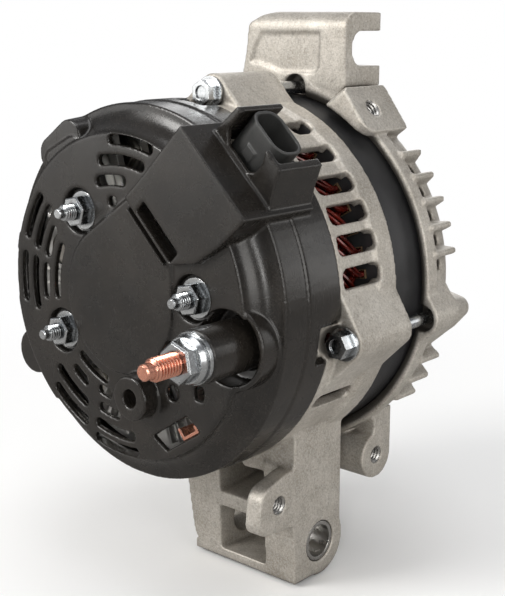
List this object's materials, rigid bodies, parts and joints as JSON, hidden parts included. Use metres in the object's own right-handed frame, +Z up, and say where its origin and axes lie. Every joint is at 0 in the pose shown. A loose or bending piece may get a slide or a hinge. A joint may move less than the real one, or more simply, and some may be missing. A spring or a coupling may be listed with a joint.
{
  "type": "car alternator",
  "caption": "Belt-driven car alternator with cast frames, slotted plastic rear cover, connector hood, B+ terminal stud and upper and lower mounting brackets.",
  "frame": {"origin": "on the shaft axis, in the plane where the rear frame's rim meets the stator core", "axes": "+Y along the shaft towards the pulley, -Y is the terminal end, +Z up, +X towards the machined mounting face"},
  "size_m": [0.1558, 0.1987, 0.2104],
  "materials": {
    "cover_plastic": "satin moulded, faint flow marks",
    "connector_plastic": "satin moulded",
    "cast_alloy": "fine-grained as cast",
    "zinc_steel": "bright zinc",
    "bright_steel": "machined",
    "copper": "bare copper",
    "tinned_copper": "tinned",
    "enamel_copper": "enamelled, glossy",
    "carbon": "matt carbon",
    "spring_steel": "drawn wire",
    "sheet_aluminium": "stamped",
    "core_steel": "varnished laminations",
    "pole_steel": "forged and turned",
    "sheet_steel": "stamped, dark",
    "liner_paper": "insulating sheet and nylon",
    "rubber": "matt"
  },
  "bodies": {
    "housing": {"rear_cover": "cover_plastic", "cover_studs": "zinc_steel", "cover_nuts": "zinc_steel", "stud_spacers": "zinc_steel", "b_plus_stud": "copper", "b_plus_insulator": "cover_plastic", "b_plus_washers": "zinc_steel", "b_plus_nut": "zinc_steel", "regulator": "connector_plastic", "connector_pins": "tinned_copper", "brush_holder": "connector_plastic", "brush_spring_rear": "spring_steel", "brush_spring_front": "spring_steel", "rectifier_negative_plate": "sheet_aluminium", "rectifier_positive_plate": "sheet_aluminium", "negative_diodes": "tinned_copper", "positive_diodes": "tinned_copper", "diode_leads": "copper", "output_terminal_clip": "copper", "terminal_block": "connector_plastic", "rear_frame": "cast_alloy", "stator_core": "core_steel", "slot_liners": "liner_paper", "stator_winding": "enamel_copper", "stator_leads": "enamel_copper", "lead_grommets": "rubber", "drive_end_frame": "cast_alloy", "through_bolts": "zinc_steel", "bearing_retainer": "bright_steel", "retainer_screws": "zinc_steel", "front_bearing_outer_race": "bright_steel", "front_bearing_seals": "rubber", "rear_bearing_outer_race": "bright_steel", "rear_bearing_seals": "rubber"},
    "rotor": {"rotor_shaft": "bright_steel", "rear_claw_pole": "pole_steel", "front_claw_pole": "pole_steel", "coil_bobbin": "liner_paper", "field_coil": "enamel_copper", "rear_fan": "sheet_steel", "front_fan": "sheet_steel", "front_collar": "bright_steel", "slip_ring_insulator": "connector_plastic", "slip_rings": "copper", "pulley": "sheet_steel", "pulley_nut": "zinc_steel", "front_bearing_inner_race": "bright_steel", "rear_bearing_inner_race": "bright_steel"},
    "front_bearing_set": {"front_bearing_balls": "bright_steel", "front_bearing_cage": "liner_paper"},
    "rear_bearing_set": {"rear_bearing_balls": "bright_steel", "rear_bearing_cage": "liner_paper"},
    "brush_rear": {"brush_rear": "carbon"},
    "brush_front": {"brush_front": "carbon"},
    "sleeve": {"mounting_sleeve": "bright_steel"}
  },
  "joints": [
    {"name": "rotor_spin", "type": "hinge", "parent": "housing", "child": "rotor", "pos_m": [0, 0, 0], "axis": [0, 1, 0], "continuous": true},
    {"name": "front_balls_orbit", "type": "hinge", "parent": "housing", "child": "front_bearing_set", "pos_m": [0, 0, 0], "axis": [0, 1, 0], "continuous": true},
    {"name": "rear_balls_orbit", "type": "hinge", "parent": "housing", "child": "rear_bearing_set", "pos_m": [0, 0, 0], "axis": [0, 1, 0], "continuous": true},
    {"name": "brush_rear_slide", "type": "slide", "parent": "housing", "child": "brush_rear", "axis": [0.7071, 0, 0.7071], "range_m": [0, 0.005], "deforming": ["brush_spring_rear"]},
    {"name": "brush_front_slide", "type": "slide", "parent": "housing", "child": "brush_front", "axis": [0.7071, 0, 0.7071], "range_m": [0, 0.005], "deforming": ["brush_spring_front"]},
    {"name": "sleeve_slide", "type": "slide", "parent": "housing", "child": "sleeve", "axis": [1, 0, 0], "range_m": [-0.0022, 0.002]}
  ],
  "couplings": [
    {"joint": "front_balls_orbit", "follows": "rotor_spin", "ratio": 0.3625},
    {"joint": "rear_balls_orbit", "follows": "rotor_spin", "ratio": 0.3808}
  ]
}
